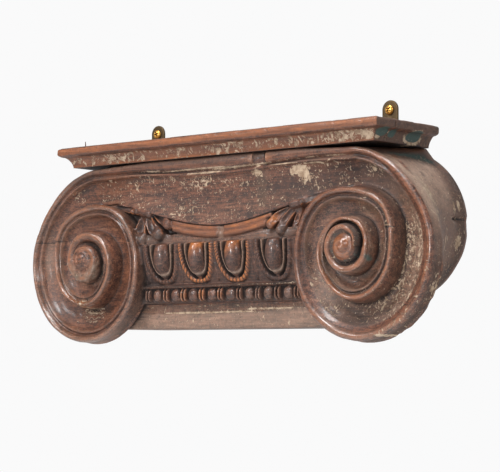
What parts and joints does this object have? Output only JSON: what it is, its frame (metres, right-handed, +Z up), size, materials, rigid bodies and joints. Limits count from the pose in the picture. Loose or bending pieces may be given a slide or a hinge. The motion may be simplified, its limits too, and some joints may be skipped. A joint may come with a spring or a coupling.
{
  "type": "ionic pilaster capital",
  "caption": "Carved wooden Ionic pilaster capital with stepped volutes, egg-and-dart band, bead row and moulded abacus, hung flat on a wall by two plates.",
  "frame": {"origin": "on the flat back that lies against the wall, on the centre line of the capital, 100 mm above the lowest points of the volutes", "axes": "+X along the capital towards its right end as seen from the front, +Y into the wall, +Z up"},
  "size_m": [0.5104, 0.1075, 0.23],
  "materials": {
    "carved_wood": "old dark varnish worn to orange-brown on the edges, remains of cream paint in the hollows",
    "abacus_front_wood": "worn orange-brown varnish with cream paint flecks in the cavetto",
    "abacus_back_wood": "dull grey-brown, dusty, with traces of blue-green paint",
    "plate_brass": "dark tarnish",
    "screw_brass": "bright, lightly tarnished",
    "pin_steel": "rusted"
  },
  "bodies": {
    "root": {"capital_body": "carved_wood", "abacus_front_board": "abacus_front_wood", "abacus_back_board": "abacus_back_wood", "hanger_plate_left": "plate_brass", "hanger_plate_right": "plate_brass", "hanger_screw_left": "screw_brass", "hanger_screw_right": "screw_brass", "abacus_pin": "pin_steel"}
  },
  "joints": []
}
